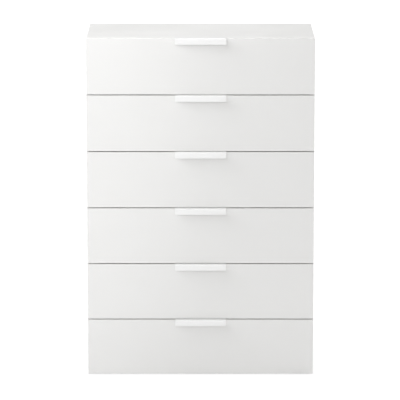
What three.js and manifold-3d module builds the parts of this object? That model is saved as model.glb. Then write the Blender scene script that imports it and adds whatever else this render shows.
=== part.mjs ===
// A tall chest of six full-width drawers, in millimetres, +Z up.
// The origin is on the floor, in the middle of the chest's footprint. The fronts face -Y.
// Each drawer runs on a pair of roller runners, and is pulled by a folded metal strip that hooks
// over the upper edge of its front.
import * as THREE from "three";
import { mergeVertices } from "three/addons/utils/BufferGeometryUtils.js";
import Module from "manifold-3d";

const wasm = await Module();
wasm.setup();

// Overall sizes
const chestWidth = 800;
const chestHeight = 1210; // floor to the upper face of the top panel
const carcassDepth = 392; // the cabinet without its drawer fronts
const drawerCount = 6;

// Boards and sheets
const carcassBoard = 16;
const frontBoard = 16;
const drawerBoard = 12;
const thinSheet = 3; // hardboard of the back and of the drawer bottoms
const grooveDepth = 6;
const fitGap = 0.3; // left between two pieces that touch

// Gaps and clearances
const frontGap = 3; // between one drawer front and the next
const bumperGap = 2; // between the cabinet's front edge and the back of the fronts
const topClearance = 10; // between a drawer box and the top panel, and the same below each front's edge
const bottomClearance = 11; // between the lowest drawer box and the bottom panel
const rearClearance = 15; // between a drawer box and the rear stretcher

// Cabinet
const glideHeight = 5;
const glideEdge = 1; // from a glide's rim to the faces of the side panel
const glideChamfer = 1.5;
const glideInset = 45; // from a glide's middle to the front or rear edge of the side panel
const glideSegments = 24;
const plinthHeight = 25; // from the side panels' lower edge to the bottom panel
const plinthSetback = 40;
const backInset = 10; // from the back sheets' rear face to the cabinet's rear edge
const backJoint = 1; // between the upper and the lower back sheet
const stretcherHeight = 80;

// Drawer runners: the cabinet's half of each is a channel open towards the drawer
const runnerSpace = 12.5; // between a drawer box and the side panel
const runnerSheet = 1.2;
const runnerHeight = 28;
const runnerFlange = 9.5;
const runnerDrop = 4; // from the drawer box's lower edge down to the channel's underside
const runnerSetback = 2;

// Drawer bottoms
const bottomRise = 10; // from the drawer sides' lower edge to the bottom sheet

// Handles: a rear leg let into the back of the front, a flange over its edge, and a lip
const handleWidth = 180;
const handleSheet = 1.5;
const handleReach = 20; // from the front's face to the lip's outer face
const handleLeg = 20; // below the front's upper edge, at the back
const handleLip = 18; // below the front's upper edge, at the front
const handleBend = 1; // inner radius between the flange and the lip
const bendSegments = 4;

// Places that follow from the sizes above
const totalDepth = carcassDepth + bumperGap + frontBoard + handleReach;
const rearY = totalDepth / 2;
const carcassFrontY = rearY - carcassDepth;
const frontBackY = carcassFrontY - bumperGap;
const frontFaceY = frontBackY - frontBoard;
const lipY = frontFaceY - handleReach;
const innerHalf = chestWidth / 2 - carcassBoard; // from the middle to a side panel's inner face
const sideTop = chestHeight - carcassBoard;
const sideHeight = sideTop - glideHeight - fitGap;
const backSheetRearY = rearY - backInset;
const backSheetFrontY = backSheetRearY - thinSheet;
const bottomPanelLow = glideHeight + plinthHeight;
const stretcherRearY = backSheetFrontY - fitGap;
const stretcherFrontY = stretcherRearY - carcassBoard;
const stretcherMiddle = chestHeight / 2;

const frontHeight = (chestHeight - glideHeight - (drawerCount - 1) * frontGap) / drawerCount;
const boxHalf = innerHalf - runnerSpace; // from the middle to a drawer side's outer face
const boxInnerHalf = boxHalf - drawerBoard;
const boxLow = plinthHeight + carcassBoard + bottomClearance; // above the front's lower edge
const boxHigh = frontHeight - carcassBoard - topClearance;
const boxRearY = stretcherFrontY - rearClearance;
const boxFrontY = frontBackY + fitGap;
const boxLength = boxRearY - boxFrontY;
const bottomLow = boxLow + bottomRise;
const bottomHigh = bottomLow + thinSheet;

// Materials
function finish(color, roughness, metalness) {
  return new THREE.MeshStandardMaterial({ color, roughness, metalness });
}

const whiteFront = () => finish(0xf3f2f0, 0.35, 0);
const whiteBoard = () => finish(0xf0efed, 0.45, 0);
const drawerWhite = () => finish(0xeceae6, 0.5, 0);
const hardboard = () => finish(0xe6e3dd, 0.6, 0);
const whiteMetal = () => finish(0xf7f7f6, 0.3, 0.1);
const coatedSteel = () => finish(0xe9e9e8, 0.4, 0.2);
const greyPlastic = () => finish(0xcfcfcc, 0.6, 0);

// Joining and cutting
function toSolid(geometry) {
  const bare = geometry.clone();
  bare.deleteAttribute("normal");
  bare.deleteAttribute("uv");
  const merged = mergeVertices(bare);
  return new wasm.Manifold(
    new wasm.Mesh({
      numProp: 3,
      vertProperties: new Float32Array(merged.attributes.position.array),
      triVerts: new Uint32Array(merged.index.array),
    }),
  );
}

function toGeometry(solid) {
  const mesh = solid.getMesh();
  const indexed = new THREE.BufferGeometry();
  indexed.setAttribute("position", new THREE.BufferAttribute(mesh.vertProperties, 3));
  indexed.setIndex(new THREE.BufferAttribute(mesh.triVerts, 1));
  const flat = indexed.toNonIndexed();
  flat.computeVertexNormals();
  return flat;
}

function cutFrom(geometry, ...cutters) {
  const rest = cutters.reduce((solid, cutter) => solid.subtract(toSolid(cutter)), toSolid(geometry));
  return toGeometry(rest);
}

// A box between two corners
function block(low, high) {
  const size = high.map((value, axis) => value - low[axis]);
  const geometry = new THREE.BoxGeometry(...size);
  geometry.translate(...low.map((value, axis) => value + size[axis] / 2));
  return geometry;
}

// A closed outline through the given points
function outline(points) {
  return new THREE.Shape(points.map(([u, v]) => new THREE.Vector2(u, v)));
}

function extrude(shape, depth) {
  return new THREE.ExtrudeGeometry(shape, { depth, bevelEnabled: false, curveSegments: bendSegments });
}

function mesh(name, geometry, material, position = [0, 0, 0], rotation = [0, 0, 0]) {
  const made = new THREE.Mesh(geometry, material);
  made.name = name;
  made.position.set(...position);
  made.rotation.set(...rotation);
  return made;
}

const alongMinusY = [Math.PI / 2, 0, 0]; // an outline in X and Z, extruded towards the front
const alongX = [Math.PI / 2, Math.PI / 2, 0]; // an outline in Y and Z, extruded to the right

const sides = [
  ["left", -1],
  ["right", 1],
];

// Cabinet

// A side panel seen from above, with the groove for the back sheets in its inner face
function sidePanelOutline(sign) {
  const outer = sign * (chestWidth / 2);
  const inner = sign * innerHalf;
  const grooveFloor = sign * (innerHalf + grooveDepth);
  return outline([
    [outer, carcassFrontY],
    [outer, rearY],
    [inner, rearY],
    [inner, backSheetRearY + fitGap],
    [grooveFloor, backSheetRearY + fitGap],
    [grooveFloor, backSheetFrontY - fitGap],
    [inner, backSheetFrontY - fitGap],
    [inner, carcassFrontY],
  ]);
}

function topPanelGeometry() {
  const panel = block([-chestWidth / 2, carcassFrontY, sideTop], [chestWidth / 2, rearY, chestHeight]);
  const groove = block(
    [-innerHalf, backSheetFrontY - fitGap, sideTop - grooveDepth],
    [innerHalf, backSheetRearY + fitGap, sideTop + grooveDepth],
  );
  return cutFrom(panel, groove);
}

function backSheet(low, high) {
  const half = innerHalf + grooveDepth - fitGap;
  return block([-half, backSheetFrontY, low], [half, backSheetRearY, high]);
}

// A board that fits between the two side panels
function betweenSides(frontY, backY, low, high) {
  const half = innerHalf - fitGap;
  return block([-half, frontY, low], [half, backY, high]);
}

function glideGeometry() {
  const radius = carcassBoard / 2 - glideEdge;
  const profile = [
    [0, 0],
    [radius - glideChamfer, 0],
    [radius, glideChamfer],
    [radius, glideHeight],
    [0, glideHeight],
  ];
  const lathe = new THREE.LatheGeometry(
    profile.map(([r, z]) => new THREE.Vector2(r, z)),
    glideSegments,
  );
  return lathe.rotateX(Math.PI / 2);
}

function runnerOutline(sign) {
  const fixed = sign * (innerHalf - fitGap);
  const web = sign * (innerHalf - fitGap - runnerSheet);
  const tip = sign * (innerHalf - fitGap - runnerFlange);
  return outline([
    [fixed, 0],
    [fixed, runnerHeight],
    [tip, runnerHeight],
    [tip, runnerHeight - runnerSheet],
    [web, runnerHeight - runnerSheet],
    [web, runnerSheet],
    [tip, runnerSheet],
    [tip, 0],
  ]);
}

function buildCabinet() {
  const cabinet = new THREE.Group();
  cabinet.add(mesh("top_panel", topPanelGeometry(), whiteBoard()));
  for (const [side, sign] of sides) {
    const panel = extrude(sidePanelOutline(sign), sideHeight);
    cabinet.add(mesh(side + "_side", panel, whiteBoard(), [0, 0, glideHeight]));
  }

  const bottomPanelHigh = bottomPanelLow + carcassBoard;
  const bottomPanel = betweenSides(carcassFrontY, stretcherRearY, bottomPanelLow, bottomPanelHigh);
  cabinet.add(mesh("bottom_panel", bottomPanel, whiteBoard()));

  const plinthY = carcassFrontY + plinthSetback;
  const plinth = betweenSides(plinthY, plinthY + carcassBoard, glideHeight, bottomPanelLow - fitGap);
  cabinet.add(mesh("plinth_rail", plinth, whiteBoard()));

  const halfHeight = stretcherHeight / 2;
  const stretcher = betweenSides(
    stretcherFrontY,
    stretcherRearY,
    stretcherMiddle - halfHeight,
    stretcherMiddle + halfHeight,
  );
  cabinet.add(mesh("rear_stretcher", stretcher, whiteBoard()));

  const halfJoint = backJoint / 2;
  const lower = backSheet(bottomPanelLow, stretcherMiddle - halfJoint);
  const upper = backSheet(stretcherMiddle + halfJoint, sideTop - fitGap);
  cabinet.add(mesh("back_panel_lower", lower, hardboard()));
  cabinet.add(mesh("back_panel_upper", upper, hardboard()));

  const glide = glideGeometry();
  const glideX = chestWidth / 2 - carcassBoard / 2;
  const glidePlaces = [
    ["front", carcassFrontY + glideInset],
    ["rear", rearY - glideInset],
  ];
  for (const [side, sign] of sides) {
    for (const [end, y] of glidePlaces) {
      cabinet.add(mesh("glide_" + end + "_" + side, glide, greyPlastic(), [sign * glideX, y, 0]));
    }
  }
  return cabinet;
}

// Drawers: heights here are above the lower edge of the drawer's own front

function frontGeometry() {
  const board = block([-chestWidth / 2, frontFaceY, 0], [chestWidth / 2, frontBackY, frontHeight]);
  const grooveHalf = boxInnerHalf + grooveDepth;
  const groove = block(
    [-grooveHalf, frontBackY - grooveDepth, bottomLow - fitGap],
    [grooveHalf, frontBackY + grooveDepth, bottomHigh + fitGap],
  );
  const rebateHalf = handleWidth / 2 + fitGap;
  const rebate = block(
    [-rebateHalf, frontBackY - handleSheet - fitGap, frontHeight - handleLeg - fitGap],
    [rebateHalf, frontBackY + handleSheet, frontHeight + handleSheet],
  );
  return cutFrom(board, groove, rebate);
}

// The handle's section in Y and Z, from the rear leg over the front's edge to the lip
function handleOutline() {
  const flangeLow = frontHeight + fitGap;
  const flangeHigh = flangeLow + handleSheet;
  const legInnerY = frontBackY - handleSheet;
  const lipInnerY = lipY + handleSheet;
  const rearBend = fitGap; // concentric with the front's upper rear edge
  const quarter = Math.PI / 2;
  const shape = new THREE.Shape();
  shape.moveTo(frontBackY, frontHeight - handleLeg);
  shape.absarc(legInnerY - rearBend, flangeLow - rearBend, rearBend + handleSheet, 0, quarter);
  shape.absarc(lipInnerY + handleBend, flangeLow - handleBend, handleBend + handleSheet, quarter, 2 * quarter);
  shape.lineTo(lipY, frontHeight - handleLip);
  shape.lineTo(lipInnerY, frontHeight - handleLip);
  shape.absarc(lipInnerY + handleBend, flangeLow - handleBend, handleBend, 2 * quarter, quarter, true);
  shape.absarc(legInnerY - rearBend, flangeLow - rearBend, rearBend, quarter, 0, true);
  shape.lineTo(legInnerY, frontHeight - handleLeg);
  shape.closePath();
  return shape;
}

// A drawer side seen from the front, with the groove for the bottom sheet in its inner face
function drawerSideOutline(sign) {
  const outer = sign * boxHalf;
  const inner = sign * boxInnerHalf;
  const grooveFloor = sign * (boxInnerHalf + grooveDepth);
  return outline([
    [outer, boxLow],
    [outer, boxHigh],
    [inner, boxHigh],
    [inner, bottomHigh + fitGap],
    [grooveFloor, bottomHigh + fitGap],
    [grooveFloor, bottomLow - fitGap],
    [inner, bottomLow - fitGap],
    [inner, boxLow],
  ]);
}

function drawerBackGeometry() {
  const half = boxInnerHalf - fitGap;
  return block([-half, boxRearY - drawerBoard, bottomHigh + fitGap], [half, boxRearY, boxHigh]);
}

function drawerBottomGeometry() {
  const half = boxInnerHalf + grooveDepth - fitGap;
  return block([-half, frontBackY - grooveDepth + fitGap, bottomLow], [half, boxRearY, bottomHigh]);
}

function buildDrawers() {
  const drawers = new THREE.Group();
  const front = frontGeometry();
  const handle = extrude(handleOutline(), handleWidth);
  const back = drawerBackGeometry();
  const bottom = drawerBottomGeometry();
  for (let number = 1; number <= drawerCount; number += 1) {
    const lowEdge = chestHeight - number * frontHeight - (number - 1) * frontGap;
    const drawer = new THREE.Group();
    drawer.position.z = lowEdge;
    const prefix = "drawer_" + number + "_";
    drawer.add(mesh(prefix + "front", front, whiteFront()));
    drawer.add(mesh(prefix + "handle", handle, whiteMetal(), [-handleWidth / 2, 0, 0], alongX));
    drawer.add(mesh(prefix + "back", back, drawerWhite()));
    drawer.add(mesh(prefix + "bottom", bottom, hardboard()));
    for (const [side, sign] of sides) {
      const board = extrude(drawerSideOutline(sign), boxLength);
      drawer.add(mesh(prefix + "side_" + side, board, drawerWhite(), [0, boxRearY, 0], alongMinusY));
      const channel = extrude(runnerOutline(sign), boxLength);
      const place = [0, carcassFrontY + runnerSetback + boxLength, boxLow - runnerDrop];
      drawer.add(mesh("runner_" + number + "_" + side, channel, coatedSteel(), place, alongMinusY));
    }
    drawers.add(drawer);
  }
  return drawers;
}

const chest = new THREE.Group();
chest.add(buildCabinet(), buildDrawers());

export default chest;
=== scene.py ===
# A tall white chest of six drawers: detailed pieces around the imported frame, its finishes, and a studio.
import math

import bmesh
import bpy
from mathutils import Matrix, Vector


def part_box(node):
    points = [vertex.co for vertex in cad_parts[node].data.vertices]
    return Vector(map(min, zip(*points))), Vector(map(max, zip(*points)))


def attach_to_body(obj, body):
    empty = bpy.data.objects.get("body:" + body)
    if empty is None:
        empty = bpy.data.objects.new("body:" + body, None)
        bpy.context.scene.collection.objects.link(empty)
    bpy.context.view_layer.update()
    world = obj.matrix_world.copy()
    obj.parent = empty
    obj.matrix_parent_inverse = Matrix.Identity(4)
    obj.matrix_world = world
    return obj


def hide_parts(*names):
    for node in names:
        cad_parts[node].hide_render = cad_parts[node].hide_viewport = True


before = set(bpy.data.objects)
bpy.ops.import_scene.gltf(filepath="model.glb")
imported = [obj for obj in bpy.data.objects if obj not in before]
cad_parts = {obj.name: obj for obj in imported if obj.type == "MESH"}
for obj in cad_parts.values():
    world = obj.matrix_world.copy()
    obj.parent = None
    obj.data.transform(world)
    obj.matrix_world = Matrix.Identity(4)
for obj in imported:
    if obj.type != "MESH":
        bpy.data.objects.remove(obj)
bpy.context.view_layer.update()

mm = 0.001
drawerNumbers = range(1, 7)
bothSides = (-1, 1)
tiny = 0.01 * mm
aligned = 0.99  # a face counts as turned to a direction from this cosine up
across = 0.5  # and as lying along it below this one
smoothing = {"angle": 46, "weight": 60}
toFront, toRear = Vector((0, -1, 0)), Vector((0, 1, 0))
toTop, toBottom = Vector((0, 0, 1)), Vector((0, 0, -1))
toRight, toLeft = Vector((1, 0, 0)), Vector((-1, 0, 0))


# selecting, adding and finishing pieces
def only(*pieces):
    bpy.ops.object.select_all(action="DESELECT")
    for piece in pieces:
        piece.select_set(True)
    bpy.context.view_layer.objects.active = pieces[0]


def named(name):
    piece = bpy.context.object
    piece.name = name
    piece.data.name = name
    return piece


def placed(piece):  # the place, turn and size go into the mesh
    only(piece)
    bpy.ops.object.transform_apply(location=True, rotation=True, scale=True)
    return piece


def addBlock(name, low, high):
    low, high = Vector(low), Vector(high)
    bpy.ops.object.select_all(action="DESELECT")
    bpy.ops.mesh.primitive_cube_add(size=1, location=(low + high) / 2)
    piece = named(name)
    piece.scale = high - low
    return placed(piece)


def addDisc(name, centre, axis, radius, depth, corners):  # it grows from centre along axis
    bpy.ops.object.select_all(action="DESELECT")
    turn = Vector(axis).to_track_quat("Z", "Y").to_euler()
    middle = Vector(centre) + Vector(axis) * depth / 2
    bpy.ops.mesh.primitive_cylinder_add(
        vertices=corners, radius=radius, depth=depth, location=middle, rotation=turn
    )
    return placed(named(name))


def editing(piece):
    only(piece)
    bpy.ops.object.mode_set(mode="EDIT")
    bpy.ops.mesh.select_all(action="DESELECT")


def doneEditing():
    bpy.ops.object.mode_set(mode="OBJECT")


def pickFaces(piece, test):
    bpy.ops.mesh.select_mode(type="FACE")
    bpy.ops.mesh.select_all(action="DESELECT")
    shape = bmesh.from_edit_mesh(piece.data)
    for face in shape.faces:
        if test(face):
            face.select_set(True)
    bmesh.update_edit_mesh(piece.data)


def pickEdges(piece, test):
    bpy.ops.mesh.select_mode(type="EDGE")
    bpy.ops.mesh.select_all(action="DESELECT")
    shape = bmesh.from_edit_mesh(piece.data)
    for edge in shape.edges:
        if test(edge):
            edge.select_set(True)
    bmesh.update_edit_mesh(piece.data)


def facing(direction):
    return lambda face: face.normal.dot(direction) > aligned


def applyModifier(piece, kind, **settings):
    only(piece)
    modifier = piece.modifiers.new(kind.lower(), kind)
    for key, value in settings.items():
        setattr(modifier, key, value)
    bpy.ops.object.modifier_apply(modifier=modifier.name)


def cutWith(piece, cutter):
    applyModifier(piece, "BOOLEAN", operation="DIFFERENCE", object=cutter, solver="EXACT")
    bpy.data.objects.remove(cutter)


def cutBlock(piece, low, high):
    cutWith(piece, addBlock("cutter", low, high))


def easeEdges(piece, width, segments=2, angle=40, edgeSlot=-1):  # edgeSlot is for the faces it makes
    applyModifier(
        piece, "BEVEL", width=width, segments=segments, limit_method="ANGLE",
        angle_limit=math.radians(angle), loop_slide=False, material=edgeSlot,
    )


def paint(piece, *materials):
    piece.data.materials.clear()
    for material in materials:
        piece.data.materials.append(material)


def joinPieces(name, pieces):
    only(*pieces)
    bpy.ops.object.join()
    return named(name)


def copyPiece(master, name, move=(0, 0, 0), mirrored=False):
    only(master)
    bpy.ops.object.duplicate()
    piece = named(name)
    piece.location = move
    piece.scale.x = -1 if mirrored else 1
    placed(piece)
    if mirrored:
        editing(piece)
        bpy.ops.mesh.select_all(action="SELECT")
        bpy.ops.mesh.remove_doubles(threshold=0.000001)
        bpy.ops.mesh.normals_make_consistent(inside=False)
        doneEditing()
    return piece


def smooth(piece):
    only(piece)
    bpy.ops.object.shade_smooth_by_angle(angle=math.radians(smoothing["angle"]))
    applyModifier(
        piece, "WEIGHTED_NORMAL", mode="FACE_AREA", weight=smoothing["weight"], keep_sharp=True
    )
    return piece


def attach(piece, body, slotName, *nodes):  # ties a finished piece to its body
    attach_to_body(piece, body)
    if nodes:
        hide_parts(*nodes)


def drop(*pieces):
    for piece in pieces:
        bpy.data.objects.remove(piece)


# shared effects, as node groups
skinField = {"coarseDetail": 2, "fineDetail": 3, "finer": 3.7}
driftField = {"detail": 3, "roughness": 0.6, "touchDetail": 4, "touchRoughness": 0.65, "finer": 2.9,
              "lowest": 0.3, "highest": 0.7}
wearField = {"detail": 4, "roughness": 0.7, "scale": 45, "from": 0.5, "full": 0.68}
fleckField = {"detail": 3, "roughness": 0.7, "coarser": 0.6, "lowest": 0.15, "highest": 0.85}


def newGroup(name, inputs, outputs):
    group = bpy.data.node_groups.new(name, "ShaderNodeTree")
    for socketName, kind, value in inputs:
        socket = group.interface.new_socket(socketName, in_out="INPUT", socket_type=kind)
        if value is not None:
            socket.default_value = value
    for socketName, kind in outputs:
        group.interface.new_socket(socketName, in_out="OUTPUT", socket_type=kind)
    return group, group.nodes.new("NodeGroupInput"), group.nodes.new("NodeGroupOutput")


def addNoise(nodes, detail, roughness=0.5):
    node = nodes.new("ShaderNodeTexNoise")
    node.inputs["Detail"].default_value = detail
    node.inputs["Roughness"].default_value = roughness
    return node


def addTimes(nodes, factor):
    node = nodes.new("ShaderNodeMath")
    node.operation = "MULTIPLY"
    node.inputs[1].default_value = factor
    return node


def addColourMix(nodes):
    node = nodes.new("ShaderNodeMix")
    node.data_type = "RGBA"
    colours = [socket for socket in node.inputs if socket.type == "RGBA"]
    result = [socket for socket in node.outputs if socket.type == "RGBA"][0]
    return node.inputs[0], colours[0], colours[1], result


def makeSkinGroup():  # the pebbled skin of a press plate or a paint, as a height
    group, start, end = newGroup(
        "pressedSkin",
        (("Place", "NodeSocketVector", None), ("Pebbles", "NodeSocketFloat", 900.0),
         ("Fine share", "NodeSocketFloat", 0.35)),
        (("Height", "NodeSocketFloat"),),
    )
    nodes, links = group.nodes, group.links
    coarse = addNoise(nodes, skinField["coarseDetail"])
    fine = addNoise(nodes, skinField["fineDetail"])
    finer = addTimes(nodes, skinField["finer"])
    blend = nodes.new("ShaderNodeMix")
    links.new(start.outputs["Place"], coarse.inputs["Vector"])
    links.new(start.outputs["Place"], fine.inputs["Vector"])
    links.new(start.outputs["Pebbles"], coarse.inputs["Scale"])
    links.new(start.outputs["Pebbles"], finer.inputs[0])
    links.new(finer.outputs[0], fine.inputs["Scale"])
    links.new(start.outputs["Fine share"], blend.inputs["Factor"])
    links.new(coarse.outputs["Fac"], blend.inputs["A"])
    links.new(fine.outputs["Fac"], blend.inputs["B"])
    links.new(blend.outputs["Result"], end.inputs["Height"])
    return group


def makeDriftGroup():  # a colour that drifts slowly over a surface, and a roughness that drifts with it
    group, start, end = newGroup(
        "slowDrift",
        (("Place", "NodeSocketVector", None), ("Tone", "NodeSocketColor", None),
         ("Deeper tone", "NodeSocketColor", None), ("Patches", "NodeSocketFloat", 3.0),
         ("Smoothest", "NodeSocketFloat", 0.3), ("Roughest", "NodeSocketFloat", 0.4)),
        (("Color", "NodeSocketColor"), ("Roughness", "NodeSocketFloat")),
    )
    nodes, links = group.nodes, group.links
    patches = addNoise(nodes, driftField["detail"], driftField["roughness"])
    touches = addNoise(nodes, driftField["touchDetail"], driftField["touchRoughness"])
    touchScale = addTimes(nodes, driftField["finer"])
    factor, tone, deeper, mixed = addColourMix(nodes)
    spread = nodes.new("ShaderNodeMapRange")
    spread.inputs["From Min"].default_value = driftField["lowest"]
    spread.inputs["From Max"].default_value = driftField["highest"]
    for field in (patches, touches):
        links.new(start.outputs["Place"], field.inputs["Vector"])
    links.new(start.outputs["Patches"], patches.inputs["Scale"])
    links.new(start.outputs["Patches"], touchScale.inputs[0])
    links.new(touchScale.outputs[0], touches.inputs["Scale"])
    links.new(patches.outputs["Fac"], factor)
    links.new(start.outputs["Tone"], tone)
    links.new(start.outputs["Deeper tone"], deeper)
    links.new(touches.outputs["Fac"], spread.inputs["Value"])
    links.new(start.outputs["Smoothest"], spread.inputs["To Min"])
    links.new(start.outputs["Roughest"], spread.inputs["To Max"])
    links.new(mixed, end.inputs["Color"])
    links.new(spread.outputs["Result"], end.inputs["Roughness"])
    return group


def makeWearGroup():  # an edge rubbed by use: a broken line of a worn tone
    group, start, end = newGroup(
        "rubbedEdge",
        (("Place", "NodeSocketVector", None), ("Color", "NodeSocketColor", None),
         ("Worn tone", "NodeSocketColor", None), ("Amount", "NodeSocketFloat", 0.5)),
        (("Color", "NodeSocketColor"), ("Mask", "NodeSocketFloat")),
    )
    nodes, links = group.nodes, group.links
    broken = addNoise(nodes, wearField["detail"], wearField["roughness"])
    broken.inputs["Scale"].default_value = wearField["scale"]
    gate = nodes.new("ShaderNodeMapRange")
    gate.inputs["From Min"].default_value = wearField["from"]
    gate.inputs["From Max"].default_value = wearField["full"]
    scaled = addTimes(nodes, 1)
    factor, plain, worn, mixed = addColourMix(nodes)
    links.new(start.outputs["Place"], broken.inputs["Vector"])
    links.new(broken.outputs["Fac"], gate.inputs["Value"])
    links.new(gate.outputs["Result"], scaled.inputs[0])
    links.new(start.outputs["Amount"], scaled.inputs[1])
    links.new(scaled.outputs[0], factor)
    links.new(start.outputs["Color"], plain)
    links.new(start.outputs["Worn tone"], worn)
    links.new(mixed, end.inputs["Color"])
    links.new(scaled.outputs[0], end.inputs["Mask"])
    return group


def makeFleckGroup():  # pressed wood chips, as a colour and a height
    group, start, end = newGroup(
        "woodFlecks",
        (("Place", "NodeSocketVector", None), ("Flecks", "NodeSocketFloat", 500.0),
         ("Pale", "NodeSocketColor", None), ("Dark", "NodeSocketColor", None)),
        (("Color", "NodeSocketColor"), ("Height", "NodeSocketFloat")),
    )
    nodes, links = group.nodes, group.links
    chips = nodes.new("ShaderNodeTexVoronoi")
    loose = addNoise(nodes, fleckField["detail"], fleckField["roughness"])
    looseScale = addTimes(nodes, fleckField["coarser"])
    spread = nodes.new("ShaderNodeMapRange")
    spread.inputs["From Min"].default_value = fleckField["lowest"]
    spread.inputs["From Max"].default_value = fleckField["highest"]
    factor, pale, dark, mixed = addColourMix(nodes)
    links.new(start.outputs["Place"], chips.inputs["Vector"])
    links.new(start.outputs["Place"], loose.inputs["Vector"])
    links.new(start.outputs["Flecks"], chips.inputs["Scale"])
    links.new(start.outputs["Flecks"], looseScale.inputs[0])
    links.new(looseScale.outputs[0], loose.inputs["Scale"])
    links.new(chips.outputs["Color"], spread.inputs["Value"])
    links.new(spread.outputs["Result"], factor)
    links.new(start.outputs["Pale"], pale)
    links.new(start.outputs["Dark"], dark)
    links.new(mixed, end.inputs["Color"])
    links.new(loose.outputs["Fac"], end.inputs["Height"])
    return group


print("shared effects")
skinGroup = makeSkinGroup()
driftGroup = makeDriftGroup()
wearGroup = makeWearGroup()
fleckGroup = makeFleckGroup()


def addGroup(nodes, group, values):
    node = nodes.new("ShaderNodeGroup")
    node.node_tree = group
    for key, value in values.items():
        node.inputs[key].default_value = (*value, 1) if isinstance(value, tuple) else value
    return node


def addBump(nodes, links, height, shader, strength, depth):
    bump = nodes.new("ShaderNodeBump")
    bump.inputs["Strength"].default_value = strength
    bump.inputs["Distance"].default_value = depth
    links.new(height, bump.inputs["Height"])
    links.new(bump.outputs["Normal"], shader.inputs["Normal"])


def startMaterial(name):
    material = bpy.data.materials.new(name)
    material.use_nodes = True
    nodes, links = material.node_tree.nodes, material.node_tree.links
    place = nodes.new("ShaderNodeTexCoord")
    return material, nodes, links, nodes["Principled BSDF"], place.outputs["Object"]


def coated(name, values, rubbed):  # a coloured skin: melamine, foil, paint, coating, plating or plastic
    material, nodes, links, shader, place = startMaterial(name)
    drift = addGroup(nodes, driftGroup, {
        "Tone": values["tone"], "Deeper tone": values["deeper"], "Patches": values["patches"],
        "Smoothest": values["smoothest"], "Roughest": values["roughest"],
    })
    skin = addGroup(nodes, skinGroup, {"Pebbles": values["pebbles"], "Fine share": values["fine"]})
    links.new(place, drift.inputs["Place"])
    links.new(place, skin.inputs["Place"])
    colour = drift.outputs["Color"]
    if rubbed:
        wear = addGroup(nodes, wearGroup, {"Worn tone": values["worn"], "Amount": values.get("wear", 0.5)})
        links.new(place, wear.inputs["Place"])
        links.new(colour, wear.inputs["Color"])
        colour = wear.outputs["Color"]
    links.new(colour, shader.inputs["Base Color"])
    links.new(drift.outputs["Roughness"], shader.inputs["Roughness"])
    shader.inputs["Metallic"].default_value = values.get("metal", 0)
    shader.inputs["Specular IOR Level"].default_value = values.get("specular", 0.5)
    shader.inputs["Coat Weight"].default_value = values.get("coat", 0)
    shader.inputs["Coat Roughness"].default_value = values.get("coatRough", 0.2)
    addBump(nodes, links, skin.outputs["Height"], shader, values["bump"], values["depth"])
    return material


def pressedWood(name, values):  # bare chipboard
    material, nodes, links, shader, place = startMaterial(name)
    flecks = addGroup(nodes, fleckGroup, {
        "Flecks": values["flecks"], "Pale": values["pale"], "Dark": values["dark"],
    })
    stretch = nodes.new("ShaderNodeMapping")
    stretch.inputs["Scale"].default_value = values["squeeze"]
    links.new(place, stretch.inputs["Vector"])
    links.new(stretch.outputs["Vector"], flecks.inputs["Place"])
    links.new(flecks.outputs["Color"], shader.inputs["Base Color"])
    shader.inputs["Roughness"].default_value = values["rough"]
    addBump(nodes, links, flecks.outputs["Height"], shader, values["bump"], values["depth"])
    return material


finishes = {
    "whiteMelamine": dict(tone=(0.84, 0.838, 0.828), deeper=(0.826, 0.823, 0.811), worn=(0.74, 0.73, 0.71),
                          patches=2.2, smoothest=0.29, roughest=0.36, pebbles=900, fine=0.3, bump=0.1,
                          depth=0.0002, specular=0.5),
    "edgeBand": dict(tone=(0.835, 0.832, 0.82), deeper=(0.815, 0.811, 0.798), worn=(0.72, 0.71, 0.69),
                     patches=12, smoothest=0.32, roughest=0.45, pebbles=1500, fine=0.2, bump=0.1,
                     depth=0.0001),
    "glueLine": dict(tone=(0.56, 0.54, 0.5), deeper=(0.45, 0.43, 0.4), worn=(0.4, 0.38, 0.35), patches=60,
                     smoothest=0.5, roughest=0.7, pebbles=2500, fine=0.5, bump=0.2, depth=0.0001),
    "drawerFoil": dict(tone=(0.8, 0.795, 0.775), deeper=(0.775, 0.77, 0.75), worn=(0.68, 0.66, 0.62),
                       patches=4, smoothest=0.4, roughest=0.52, pebbles=700, fine=0.5, bump=0.25,
                       depth=0.0002),
    "whiteHardboard": dict(tone=(0.78, 0.77, 0.745), deeper=(0.735, 0.722, 0.69), worn=(0.6, 0.5, 0.38),
                           patches=5, smoothest=0.45, roughest=0.65, pebbles=420, fine=0.6, bump=0.4,
                           depth=0.0003),
    "handlePaint": dict(tone=(0.93, 0.93, 0.925), deeper=(0.915, 0.915, 0.91), worn=(0.88, 0.88, 0.87),
                        patches=8, smoothest=0.29, roughest=0.36, pebbles=1600, fine=0.4, bump=0.16,
                        depth=0.00015, coat=0.25, coatRough=0.18),
    "runnerCoat": dict(tone=(0.79, 0.79, 0.785), deeper=(0.75, 0.75, 0.745), worn=(0.6, 0.6, 0.59),
                       patches=14, smoothest=0.29, roughest=0.42, pebbles=1100, fine=0.4, bump=0.25,
                       depth=0.0002, coat=0.15),
    "nylon": dict(tone=(0.75, 0.75, 0.73), deeper=(0.7, 0.7, 0.68), worn=(0.6, 0.6, 0.58), patches=30,
                  smoothest=0.4, roughest=0.55, pebbles=1200, fine=0.3, bump=0.15, depth=0.0001),
    "zinc": dict(tone=(0.62, 0.62, 0.61), deeper=(0.5, 0.5, 0.48), worn=(0.7, 0.7, 0.7), patches=60,
                 smoothest=0.29, roughest=0.45, pebbles=2200, fine=0.5, bump=0.2, depth=0.0001, metal=1),
    "greyPlastic": dict(tone=(0.62, 0.62, 0.6), deeper=(0.57, 0.57, 0.55), worn=(0.5, 0.5, 0.48),
                        patches=25, smoothest=0.5, roughest=0.65, pebbles=1300, fine=0.4, bump=0.25,
                        depth=0.0002),
}
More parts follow.
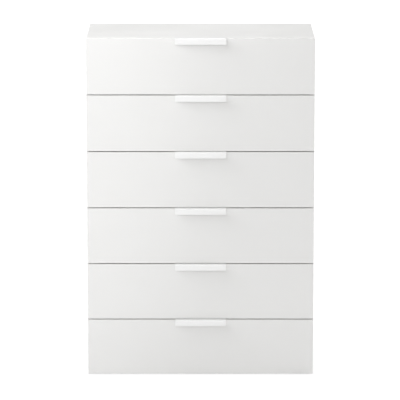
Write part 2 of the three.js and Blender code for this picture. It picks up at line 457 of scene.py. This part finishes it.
looks = {name: coated(name, values, rubbed=False) for name, values in finishes.items()}
rubbed = {name: coated(name + "Edge", values, rubbed=True) for name, values in finishes.items()}
looks["chipboard"] = pressedWood("chipboard", dict(
    flecks=420, pale=(0.62, 0.49, 0.32), dark=(0.36, 0.25, 0.14), squeeze=(1, 1, 2.2), rough=0.85,
    bump=0.6, depth=0.0004,
))


def coat(piece, finish):  # its second slot is for eased edges
    paint(piece, looks[finish], rubbed[finish])


# boards: a faced core with banded edges, and a hair of glue between face and band
board = {"ease": 0.6 * mm, "band": 1.4 * mm, "glue": 0.12 * mm, "overcut": 5 * mm}
faceSlot, bandSlot, glueSlot, coreSlot, rubbedSlot = range(5)


def assignSlot(piece, slotIndex):
    piece.active_material_index = slotIndex
    bpy.ops.object.material_slot_assign()


def bandFace(piece, direction):
    editing(piece)
    pickFaces(piece, facing(direction))
    assignSlot(piece, bandSlot)
    bpy.ops.mesh.inset(thickness=board["band"], depth=0)
    assignSlot(piece, glueSlot)
    bpy.ops.mesh.inset(thickness=board["glue"], depth=0)
    assignSlot(piece, faceSlot)
    doneEditing()


def addBoard(name, low, high, face, faced=(), bare=(), cuts=()):
    piece = addBlock(name, low, high)
    paint(
        piece, looks[face], looks["edgeBand"], looks["glueLine"], looks["chipboard"], rubbed["edgeBand"]
    )
    span = Vector(high) - Vector(low)
    thinWay = min(range(3), key=lambda way: span[way])
    editing(piece)
    pickFaces(piece, lambda found: abs(found.normal[thinWay]) < across)
    assignSlot(piece, bandSlot)
    for direction in bare:
        pickFaces(piece, facing(direction))
        assignSlot(piece, coreSlot)
    doneEditing()
    for direction in faced:
        bandFace(piece, direction)
    for cutLow, cutHigh in cuts:
        cutBlock(piece, cutLow, cutHigh)
    easeEdges(piece, board["ease"], edgeSlot=rubbedSlot)
    return smooth(piece)


print("cabinet boards")
topLow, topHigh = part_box("top_panel")
sideLow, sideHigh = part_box("right_side")
bottomLow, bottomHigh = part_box("bottom_panel")
upperLow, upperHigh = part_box("back_panel_upper")
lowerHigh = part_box("back_panel_lower")[1]
stretcherLow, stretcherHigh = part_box("rear_stretcher")
fit = 0.3 * mm  # left between pieces that touch
innerX = sideLow.x
overcut = board["overcut"]
backGroove = (upperLow.y - fit, upperHigh.y + fit)  # from front to rear
grooveReach = upperHigh.x + fit

topGroove = (
    (-grooveReach, backGroove[0], topLow.z - overcut),
    (grooveReach, backGroove[1], upperHigh.z + fit),
)
topPanel = addBoard("topPanel", topLow, topHigh, "whiteMelamine", faced=(toTop,), cuts=[topGroove])
attach(topPanel, "carcass", "carcass_board", "top_panel")

sideGroove = (
    (innerX - overcut, backGroove[0], sideLow.z - overcut),
    (grooveReach, backGroove[1], sideHigh.z + overcut),
)
rightSide = addBoard(
    "rightSide", sideLow, sideHigh, "whiteMelamine", faced=(toRight,), bare=(toRear, toBottom),
    cuts=[sideGroove],
)
leftSide = smooth(copyPiece(rightSide, "leftSide", mirrored=True))
attach(rightSide, "carcass", "carcass_board", "right_side")
attach(leftSide, "carcass", "carcass_board", "left_side")

for name, node, bareSides in (
    ("bottomPanel", "bottom_panel", (toRear,)),
    ("plinthRail", "plinth_rail", (toBottom,)),
    ("rearStretcher", "rear_stretcher", ()),
):
    lowCorner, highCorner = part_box(node)
    inner = addBoard(name, lowCorner, highCorner, "whiteMelamine", bare=bareSides)
    attach(inner, "carcass", "carcass_board", node)


print("back sheets, joint strip and nails")
backSheet = {"ease": 0.3 * mm}
joint = {"width": 14 * mm, "cap": 1 * mm, "web": 0.5 * mm, "round": 0.35 * mm}
nail = {"radius": 2.4 * mm, "height": 0.7 * mm, "dome": 0.6, "corners": 12, "spacing": 96 * mm,
        "inset": 30 * mm}

for name, node in (("backSheetUpper", "back_panel_upper"), ("backSheetLower", "back_panel_lower")):
    lowCorner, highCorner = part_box(node)
    sheet = addBlock(name, lowCorner, highCorner)
    coat(sheet, "whiteHardboard")
    easeEdges(sheet, backSheet["ease"], edgeSlot=1)
    attach(smooth(sheet), "carcass", "hardboard", node)

jointZ = (lowerHigh.z + upperLow.z) / 2
jointReach = innerX - fit
jointStrip = addBlock(
    "jointStrip",
    (-jointReach, upperHigh.y, jointZ - joint["width"] / 2),
    (jointReach, upperHigh.y + joint["cap"], jointZ + joint["width"] / 2),
)
editing(jointStrip)
pickFaces(jointStrip, facing(toFront))
bpy.ops.mesh.inset(thickness=joint["width"] / 2 - joint["web"] / 2, depth=0)
pickFaces(
    jointStrip,
    lambda face: face.normal.y < -aligned and abs(face.calc_center_median().z - jointZ) < joint["web"] / 4,
)
bpy.ops.mesh.extrude_region_move(TRANSFORM_OT_translate={"value": (0, upperLow.y - upperHigh.y, 0)})
doneEditing()
coat(jointStrip, "nylon")
easeEdges(jointStrip, joint["round"], segments=3, edgeSlot=1)
attach(smooth(jointStrip), "carcass", "glide_plastic")

nailZs = (
    stretcherLow.z + nail["inset"] / 2,
    stretcherHigh.z - nail["inset"] / 2,
    (bottomLow.z + bottomHigh.z) / 2,
)
nailCount = int(2 * (innerX - nail["inset"]) / nail["spacing"])
nailStart = -nailCount * nail["spacing"] / 2
nailMaster = addDisc(
    "nailMaster", (nailStart, upperHigh.y, 0), toRear, nail["radius"], nail["height"], nail["corners"]
)
editing(nailMaster)
pickFaces(nailMaster, facing(toRear))
bpy.ops.mesh.bevel(offset=nail["height"] * nail["dome"], segments=2)
doneEditing()
paint(nailMaster, looks["zinc"])
nails = [
    copyPiece(nailMaster, f"nail{row}-{step}", (step * nail["spacing"], 0, z))
    for row, z in enumerate(nailZs)
    for step in range(nailCount + 1)
]
drop(nailMaster)
attach(smooth(joinPieces("backNails", nails)), "carcass", "screw_steel")


print("glides")
glide = {"round": 1.6 * mm, "dimple": 3 * mm, "dimpleDepth": 0.8 * mm, "corners": 32}
for place in ("front_left", "front_right", "rear_left", "rear_right"):
    lowCorner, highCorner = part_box("glide_" + place)
    middle = (lowCorner + highCorner) / 2
    foot = addDisc(
        "glide_" + place + "_foot", (middle.x, middle.y, highCorner.z), toBottom,
        (highCorner.x - lowCorner.x) / 2, highCorner.z - lowCorner.z, glide["corners"],
    )
    editing(foot)
    pickFaces(foot, facing(toBottom))
    bpy.ops.mesh.bevel(offset=glide["round"], segments=4)
    pickFaces(foot, facing(toBottom))
    bpy.ops.mesh.inset(thickness=glide["dimple"], depth=0)
    bpy.ops.mesh.inset(thickness=glide["dimpleDepth"], depth=-glide["dimpleDepth"])
    doneEditing()
    paint(foot, looks["greyPlastic"])
    attach(smooth(foot), "carcass", "glide_plastic", "glide_" + place)


def onLine(corner, run):  # edges that lie along the line from corner in the direction of run
    way = run.normalized()
    return lambda edge: all((vert.co - corner).cross(way).length < tiny for vert in edge.verts)


# sheet metal bent from a strip, its outer surface through the given corners
def addStrip(name, finish, corners, run, bends, thickness, rim, steps=5):
    corners = [Vector(corner) for corner in corners]
    run = Vector(run)
    leg = corners[1] - corners[0]
    outward = run.cross(leg).normalized()
    turn = Matrix((run.normalized(), leg.normalized(), outward)).transposed().to_euler()
    bpy.ops.object.select_all(action="DESELECT")
    middle = corners[0] + leg / 2 + run / 2
    bpy.ops.mesh.primitive_plane_add(size=1, location=middle, rotation=turn)
    piece = named(name)
    piece.scale = (run.length, leg.length, 1)
    placed(piece)
    editing(piece)
    for corner, following in zip(corners[1:], corners[2:]):
        pickEdges(piece, onLine(corner, run))
        bpy.ops.mesh.extrude_region_move(TRANSFORM_OT_translate={"value": following - corner})
    for corner, radius in zip(corners[1:], bends):
        pickEdges(piece, onLine(corner, run))
        bpy.ops.mesh.bevel(offset=radius, segments=steps)
    doneEditing()
    applyModifier(piece, "SOLIDIFY", thickness=thickness, offset=-1, use_even_offset=True)
    coat(piece, finish)
    easeEdges(piece, rim, segments=2, angle=60, edgeSlot=1)
    return piece


def addRoller(name, centre, axis):  # centre is the middle of the roller
    centre, axis = Vector(centre), Vector(axis)
    piece = addDisc(
        name, centre - axis * roller["width"] / 2, axis, roller["radius"], roller["width"], roller["corners"]
    )
    editing(piece)
    for direction in (axis, -axis):
        pickFaces(piece, facing(direction))
        bpy.ops.mesh.inset(thickness=roller["rim"], depth=0)
        bpy.ops.mesh.inset(thickness=roller["slope"], depth=-roller["recess"])
        bpy.ops.mesh.inset(thickness=roller["web"], depth=0)
        bpy.ops.mesh.inset(thickness=roller["slope"], depth=roller["recess"])
    doneEditing()
    coat(piece, "nylon")
    easeEdges(piece, roller["round"], segments=2, angle=50, edgeSlot=1)
    return piece


headDome = 0.65  # how much of a head's height is rounded


def addHead(name, seat, axis, values, finish):  # a screw or rivet head on a surface at seat
    piece = addDisc(name, seat, axis, values["radius"], values["height"], values["corners"])
    editing(piece)
    pickFaces(piece, facing(Vector(axis)))
    bpy.ops.mesh.bevel(offset=values["height"] * headDome, segments=3)
    doneEditing()
    if "recess" in values:
        cutCross(piece, Vector(seat) + Vector(axis) * values["height"], Vector(axis), values)
    paint(piece, looks[finish])
    return piece


def cutCross(piece, tip, axis, values):
    thickness = Vector(abs(part) for part in axis) * values["recess"]
    arms = [way for way in (toRight, toRear, toTop) if abs(way.dot(axis)) < across]
    for longWay, thinWay in (arms, arms[::-1]):
        half = thickness + longWay * values["crossLength"] / 2 + thinWay * values["crossWidth"] / 2
        cutBlock(piece, tip - half, tip + half)


print("cabinet runners")
channel = {"sheet": 1.2 * mm, "bend": 1.6 * mm, "rim": 0.25 * mm, "holeRadius": 2.6 * mm,
           "holeCorners": 20, "firstHole": 30 * mm, "holeSpacing": 32 * mm, "screwHoles": (0, 4, 8)}
roller = {"radius": 9.5 * mm, "width": 5 * mm, "corners": 32, "rim": 1.6 * mm, "slope": 0.5 * mm,
          "recess": 0.9 * mm, "web": 2.6 * mm, "round": 0.4 * mm, "fromEnd": 12 * mm, "off": 10.85 * mm,
          "inset": 3.5 * mm}
runnerScrew = {"radius": 3.4 * mm, "height": 1.3 * mm, "corners": 20, "recess": 0.7 * mm,
               "crossLength": 3.4 * mm, "crossWidth": 0.8 * mm}
rivet = {"radius": 2.2 * mm, "height": 0.8 * mm, "corners": 20, "axleRadius": 1.76 * mm}
frontRivet = dict(rivet, height=0.5 * mm)
rearRivet = dict(rivet, height=0.4 * mm)

channelLow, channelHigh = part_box("runner_1_right")
webX = channelHigh.x - channel["sheet"]
rollerX = channelLow.x + roller["inset"]  # middle of every roller, between the rail and the screws
rollerZ = channelLow.z + roller["off"]


def makeChannel():
    long = channelHigh.y - channelLow.y
    piece = addStrip(
        "channelMaster", "runnerCoat",
        [(channelLow.x, channelLow.y, channelLow.z), (channelHigh.x, channelLow.y, channelLow.z),
         (channelHigh.x, channelLow.y, channelHigh.z), (channelLow.x, channelLow.y, channelHigh.z)],
        (0, long, 0), (channel["bend"], channel["bend"]), channel["sheet"], channel["rim"],
    )
    holes = []
    holeY = channelLow.y + channel["firstHole"]
    while holeY < channelHigh.y - channel["firstHole"] / 2:
        seat = (webX - overcut, holeY, channelLow.z + channelHeight / 2)
        holes.append(
            addDisc("hole", seat, toRight, channel["holeRadius"], 2 * overcut, channel["holeCorners"])
        )
        holeY += channel["holeSpacing"]
    cutWith(piece, joinPieces("holes", holes))
    return piece


channelHeight = channelHigh.z - channelLow.z
channelMaster = makeChannel()
screwHeads = []
for step in channel["screwHoles"]:
    seatY = channelLow.y + channel["firstHole"] + step * channel["holeSpacing"]
    seat = (webX, seatY, channelLow.z + channelHeight / 2)
    screwHeads.append(addHead("channelScrew", seat, toLeft, runnerScrew, "zinc"))
screwMaster = joinPieces("channelScrewMaster", screwHeads)
frontRollerY = channelLow.y + roller["fromEnd"]
rollerMaster = addRoller("frontRollerMaster", (rollerX, frontRollerY, rollerZ), toRight)
axle = addDisc(
    "axle", (webX, frontRollerY, rollerZ), toLeft, rivet["axleRadius"],
    webX - rollerX + roller["width"] / 2, rivet["corners"],
)
axleHead = addHead(
    "axleHead", (rollerX - roller["width"] / 2, frontRollerY, rollerZ), toLeft, frontRivet, "zinc"
)
paint(axle, looks["zinc"])
axleMaster = joinPieces("frontAxleMaster", [axle, axleHead])
frontLow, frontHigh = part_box("drawer_1_front")
pitch = frontLow.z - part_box("drawer_2_front")[0].z


def sideMasters(masters):  # each right-hand master with its mirrored copy, both smoothed
    paired = []
    for master, slotName, pieceWord, nodeWord in masters:
        left = smooth(copyPiece(master, pieceWord + "LeftMaster", mirrored=True))
        paired.append((left, slotName, pieceWord + "Left", nodeWord and nodeWord + "_left"))
        paired.append((smooth(master), slotName, pieceWord + "Right", nodeWord and nodeWord + "_right"))
    return paired


runnerMasters = sideMasters([
    (channelMaster, "runner_steel", "channel", "runner_{}"),
    (rollerMaster, "roller_plastic", "frontRoller", None),
    (axleMaster, "screw_steel", "frontAxle", None),
    (screwMaster, "screw_steel", "channelScrews", None),
])


def spreadMasters(masters, bodyWord):  # a copy of every master for each of the six drawers
    for number in drawerNumbers:
        for master, slotName, pieceWord, nodeWord in masters:
            piece = copyPiece(master, f"{pieceWord}{number}", (0, 0, (1 - number) * pitch))
            nodes = [nodeWord.format(number)] if nodeWord else []
            attach(piece, bodyWord.format(number), slotName, *nodes)
    drop(*[row[0] for row in masters])


spreadMasters(runnerMasters, "carcass")


print("drawer boards")
handleLow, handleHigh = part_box("drawer_1_handle")
drawerSideLow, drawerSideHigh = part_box("drawer_1_side_right")
drawerBackLow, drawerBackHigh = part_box("drawer_1_back")
drawerBottomLow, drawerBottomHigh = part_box("drawer_1_bottom")
drawerBoard = {"round": 0.9 * mm, "bottomRound": 0.3 * mm}
handle = {"sheet": 1.5 * mm, "frontBend": 2.5 * mm, "rearBend": 1.8 * mm, "rim": 0.3 * mm,
          "legReach": 20 * mm, "steps": 7, "screwInset": 30 * mm, "screwRise": 8 * mm}
handleScrew = dict(runnerScrew, height=1.1 * mm, recess=0.6 * mm)

drawerGroove = (drawerBottomLow.z - fit, drawerBottomHigh.z + fit)
frontBoard = addBoard(
    "frontMaster", frontLow, frontHigh, "whiteMelamine", faced=(toFront, toRear),
    cuts=[
        ((-drawerBottomHigh.x - fit, drawerBottomLow.y - fit, drawerGroove[0]),
         (drawerBottomHigh.x + fit, frontHigh.y + overcut, drawerGroove[1])),
        ((handleLow.x - fit, frontHigh.y - handle["sheet"] - fit, frontHigh.z - handle["legReach"] - fit),
         (handleHigh.x + fit, frontHigh.y + overcut, frontHigh.z + overcut)),
    ],
)


def addFoiled(name, low, high, cuts=()):  # a drawer board wrapped in foil, with soft edges
    piece = addBlock(name, low, high)
    coat(piece, "drawerFoil")
    for cutLow, cutHigh in cuts:
        cutBlock(piece, cutLow, cutHigh)
    easeEdges(piece, drawerBoard["round"], segments=3, edgeSlot=1)
    return piece


drawerSide = addFoiled(
    "drawerSideMaster", drawerSideLow, drawerSideHigh,
    [((drawerSideLow.x - overcut, drawerSideLow.y - overcut, drawerGroove[0]),
      (drawerBottomHigh.x + fit, drawerSideHigh.y + overcut, drawerGroove[1]))],
)
drawerBack = smooth(addFoiled("drawerBackMaster", drawerBackLow, drawerBackHigh))
drawerBottom = addBlock("drawerBottomMaster", drawerBottomLow, drawerBottomHigh)
coat(drawerBottom, "whiteHardboard")
easeEdges(drawerBottom, drawerBoard["bottomRound"], edgeSlot=1)
smooth(drawerBottom)


print("handles")
handleMaster = addStrip(
    "handleMaster", "handlePaint",
    [(handleHigh.x, handleHigh.y, frontHigh.z - handle["legReach"]),
     (handleHigh.x, handleHigh.y, handleHigh.z),
     (handleHigh.x, handleLow.y, handleHigh.z),
     (handleHigh.x, handleLow.y, handleLow.z)],
    (handleLow.x - handleHigh.x, 0, 0), (handle["rearBend"], handle["frontBend"]), handle["sheet"],
    handle["rim"], steps=handle["steps"],
)
smooth(handleMaster)
handleScrews = [
    addHead(
        "handleScrew",
        (side * (handleHigh.x - handle["screwInset"]), frontHigh.y,
         frontHigh.z - handle["legReach"] + handle["screwRise"]),
        toRear, handleScrew, "zinc",
    )
    for side in bothSides
]
handleScrewMaster = smooth(joinPieces("handleScrewMaster", handleScrews))


print("drawer rails, fittings and bumpers")
rail = {"sheet": 1.2 * mm, "foot": 11 * mm, "footGap": 0.2 * mm, "overRoller": 0.1 * mm, "reach": 8.3 * mm,
        "footBend": 1.6 * mm, "flangeBend": 0.6 * mm, "rim": 0.25 * mm, "endGap": 0.3 * mm,
        "screwInset": 40 * mm, "screwHeight": 9 * mm}
railScrew = dict(runnerScrew, radius=3 * mm, height=1 * mm, recess=0.5 * mm, crossLength=3 * mm)
cam = {"radius": 7.5 * mm, "height": 0.8 * mm, "corners": 28, "recess": 0.5 * mm, "crossLength": 7 * mm,
       "crossWidth": 1.4 * mm, "fromFront": 24 * mm, "fromEnd": 30 * mm}
bumper = {"radius": 4 * mm, "height": 1.8 * mm, "corners": 24, "fromEdge": 18 * mm}

railX = drawerSideHigh.x + rail["sheet"]
railFootZ = drawerSideLow.z - rail["footGap"] - rail["sheet"]
railFlangeZ = rollerZ + roller["radius"] + rail["overRoller"]
railStartY = drawerSideLow.y + rail["endGap"]
railMaster = addStrip(
    "railMaster", "runnerCoat",
    [(railX - rail["foot"], railStartY, railFootZ), (railX, railStartY, railFootZ),
     (railX, railStartY, railFlangeZ), (railX + rail["reach"], railStartY, railFlangeZ)],
    (0, drawerSideHigh.y - railStartY, 0), (rail["footBend"], rail["flangeBend"]), rail["sheet"], rail["rim"],
)
rearRollerY = drawerSideHigh.y - roller["fromEnd"]
rearRoller = addRoller("rearRollerMaster", (rollerX, rearRollerY, rollerZ), toRight)
rearAxle = addDisc(
    "axle", (railX, rearRollerY, rollerZ), toRight, rivet["axleRadius"],
    rollerX + roller["width"] / 2 - railX, rivet["corners"],
)
paint(rearAxle, looks["zinc"])
rearParts = [
    rearAxle,
    addHead(
        "axleHead", (rollerX + roller["width"] / 2, rearRollerY, rollerZ), toRight, rearRivet, "zinc"
    ),
]
railScrewYs = (
    railStartY + rail["screwInset"],
    (railStartY + drawerSideHigh.y) / 2,
    rearRollerY - rail["screwInset"],
)
for seatY in railScrewYs:
    seat = (railX, seatY, railFootZ + rail["screwHeight"])
    rearParts.append(addHead("railScrew", seat, toRight, railScrew, "zinc"))
railFittings = joinPieces("railFittingsMaster", rearParts)

camHeads = []
for seatZ in (drawerSideLow.z + cam["fromEnd"], drawerSideHigh.z - cam["fromEnd"]):
    seat = (drawerSideLow.x, drawerSideLow.y + cam["fromFront"], seatZ)
    camHeads.append(addHead("cam", seat, toLeft, cam, "zinc"))
    seat = (drawerSideHigh.x, (drawerBackLow.y + drawerBackHigh.y) / 2, seatZ)
    camHeads.append(addHead("cornerScrew", seat, toRight, railScrew, "zinc"))
camMaster = joinPieces("camMaster", camHeads)

bumperX = (sideLow.x + sideHigh.x) / 2
bumpers = []
for seatZ in (frontLow.z + bumper["fromEdge"], frontHigh.z - bumper["fromEdge"]):
    for side in bothSides:
        seat = (side * bumperX, frontHigh.y, seatZ)
        bumpers.append(addHead("bumper", seat, toRear, bumper, "greyPlastic"))
bumperMaster = smooth(joinPieces("bumperMaster", bumpers))

spreadMasters(
    [
        (frontBoard, "front_board", "front", "drawer_{}_front"),
        (handleMaster, "handle_metal", "handle", "drawer_{}_handle"),
        (handleScrewMaster, "screw_steel", "handleScrews", None),
        (drawerBack, "drawer_board", "drawerBack", "drawer_{}_back"),
        (drawerBottom, "hardboard", "drawerBottom", "drawer_{}_bottom"),
        (bumperMaster, "glide_plastic", "bumpers", None),
    ]
    + sideMasters([
        (drawerSide, "drawer_board", "drawerSide", "drawer_{}_side"),
        (railMaster, "runner_steel", "rail", None),
        (rearRoller, "roller_plastic", "rearRoller", None),
        (railFittings, "screw_steel", "railFittings", None),
        (camMaster, "screw_steel", "cams", None),
    ]),
    "drawer_{}",
)


print("floor, light and camera")
studio = {
    "floorSize": 60.0, "floorGlow": 1.16, "floorTone": 0.92,
    "floorShade": 0.25, "shadeNear": 1.2, "shadeFar": 2.6,
    "backdrop": 1.3, "ambient": 0.15,
    "keyPlace": (-0.9, -1.6, 2.5), "keyAim": (0.0, -0.2, 0.6), "keySize": 1.2, "keyWatts": 11.5,
    "leftPlace": (-2.6, -0.9, 3.2), "leftAim": (0.0, -0.2, 0.6), "leftSize": 1.2, "leftWatts": 38.0,
    "frontPlace": (0.0, -6.0, 2.4), "frontAim": (0.0, -0.2, 0.5), "frontSize": 3.0, "frontWatts": 138.0,
    "topPlace": (0.0, 0.4, 4.0), "topAim": (0.0, 0.1, 0.6), "topSize": 2.0, "topWatts": 72.0,
    "rearPlace": (4.2, 3.6, 2.4), "rearAim": (0.2, 0.1, 0.6), "rearSize": 3.0, "rearWatts": 120.0,
}
pool = {"place": (-2.03, -6.2, 0.96), "spread": 36.9, "soften": 0.12, "watts": 150.0, "size": 0.25}
view = {"distance": 10.0, "rise": 1.312, "aimHeight": 0.599, "sideways": -0.002, "lens": 259.6,
        "sensor": 36, "farthest": 200}


def makeFloor():  # glows white to the camera, with a share of matt floor near the chest for its shadow
    bpy.ops.object.select_all(action="DESELECT")
    bpy.ops.mesh.primitive_plane_add(size=studio["floorSize"])
    floor = named("studioFloor")
    material, nodes, links, _, place = startMaterial("studioFloor")
    end = nodes["Material Output"]
    path = nodes.new("ShaderNodeLightPath")
    glow = nodes.new("ShaderNodeEmission")
    matt = nodes.new("ShaderNodeBsdfDiffuse")
    distance = nodes.new("ShaderNodeVectorMath")
    near = nodes.new("ShaderNodeMapRange")
    share = nodes.new("ShaderNodeMix")
    both = nodes.new("ShaderNodeMixShader")
    glow.inputs["Strength"].default_value = studio["floorGlow"]
    matt.inputs["Color"].default_value = (*[studio["floorTone"]] * 3, 1)
    distance.operation = "LENGTH"
    near.inputs["From Min"].default_value = studio["shadeNear"]
    near.inputs["From Max"].default_value = studio["shadeFar"]
    near.inputs["To Min"].default_value = studio["floorShade"]
    near.inputs["To Max"].default_value = 0
    share.inputs["A"].default_value = 1
    links.new(place, distance.inputs[0])
    links.new(distance.outputs["Value"], near.inputs["Value"])
    links.new(path.outputs["Is Camera Ray"], share.inputs["Factor"])
    links.new(near.outputs["Result"], share.inputs["B"])
    links.new(share.outputs["Result"], both.inputs["Fac"])
    links.new(glow.outputs[0], both.inputs[1])
    links.new(matt.outputs[0], both.inputs[2])
    links.new(both.outputs[0], end.inputs["Surface"])
    paint(floor, material)


def makeWorld():
    world = bpy.data.worlds.new("studio")
    world.use_nodes = True
    bpy.context.scene.world = world
    nodes, links = world.node_tree.nodes, world.node_tree.links
    nodes.clear()
    end = nodes.new("ShaderNodeOutputWorld")
    path = nodes.new("ShaderNodeLightPath")
    split = nodes.new("ShaderNodeMixShader")
    seen = nodes.new("ShaderNodeBackground")
    lighting = nodes.new("ShaderNodeBackground")
    seen.inputs["Strength"].default_value = studio["backdrop"]
    lighting.inputs["Strength"].default_value = studio["ambient"]
    links.new(path.outputs["Is Camera Ray"], split.inputs["Fac"])
    links.new(lighting.outputs[0], split.inputs[1])
    links.new(seen.outputs[0], split.inputs[2])
    links.new(split.outputs[0], end.inputs["Surface"])


def addSoftbox(word):
    place, aim = Vector(studio[word + "Place"]), Vector(studio[word + "Aim"])
    bpy.ops.object.select_all(action="DESELECT")
    bpy.ops.object.light_add(type="AREA", location=place)
    lamp = bpy.context.object
    lamp.name = word + "Light"
    lamp.data.size = studio[word + "Size"]
    lamp.data.energy = studio[word + "Watts"]
    lamp.rotation_euler = (aim - place).to_track_quat("-Z", "Y").to_euler()


def addPool():  # a level spotlight, whose soft edge runs down the fronts
    bpy.ops.object.select_all(action="DESELECT")
    bpy.ops.object.light_add(type="SPOT", location=pool["place"])
    lamp = bpy.context.object
    lamp.name = "poolLight"
    lamp.data.spot_size = math.radians(pool["spread"])
    lamp.data.spot_blend = pool["soften"]
    lamp.data.shadow_soft_size = pool["size"]
    lamp.data.energy = pool["watts"]
    lamp.rotation_euler = toRear.to_track_quat("-Z", "Y").to_euler()


def makeCamera():
    place = Vector((view["sideways"], frontLow.y - view["distance"], topHigh.z + view["rise"]))
    aim = Vector((view["sideways"], 0, view["aimHeight"]))
    bpy.ops.object.select_all(action="DESELECT")
    bpy.ops.object.camera_add(location=place)
    camera = bpy.context.object
    camera.rotation_euler = (aim - place).to_track_quat("-Z", "Y").to_euler()
    camera.data.lens = view["lens"]
    camera.data.sensor_width = view["sensor"]
    camera.data.clip_end = view["farthest"]
    bpy.context.scene.camera = camera


makeFloor()
makeWorld()
for word in ("key", "left", "front", "top", "rear"):
    addSoftbox(word)
addPool()
makeCamera()
bpy.context.scene.view_settings.view_transform = "Standard"

print("done")
